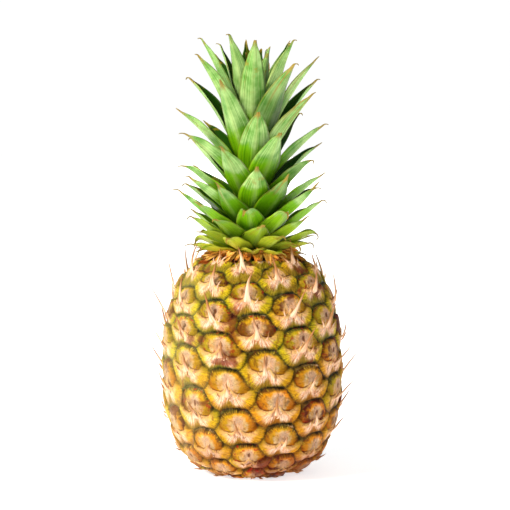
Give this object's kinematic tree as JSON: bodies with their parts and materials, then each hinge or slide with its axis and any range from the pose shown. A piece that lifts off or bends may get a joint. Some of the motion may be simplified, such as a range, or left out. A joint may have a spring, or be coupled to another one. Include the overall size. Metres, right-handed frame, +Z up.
{
  "type": "pineapple",
  "caption": "Whole pineapple as picked, standing on its base: a barrel-shaped fruit covered in raised spiny fruitlets, with a collar of dry bracts and a full crown of pointed leaves.",
  "frame": {"origin": "centre of the stalk's cut face, level with the surface that the fruit stands on", "axes": "+Z up along the fruit and its crown, -Y towards the side that faces the picture's camera"},
  "size_m": [0.1317, 0.1322, 0.2917],
  "materials": {
    "rind": "satin",
    "leaf": "satin",
    "dry_bract": "matte",
    "stalk": "matte"
  },
  "bodies": {
    "root": {"fruit": "rind", "crown": "leaf", "dry_bract_ring": "dry_bract", "stalk_end": "stalk"}
  },
  "joints": []
}
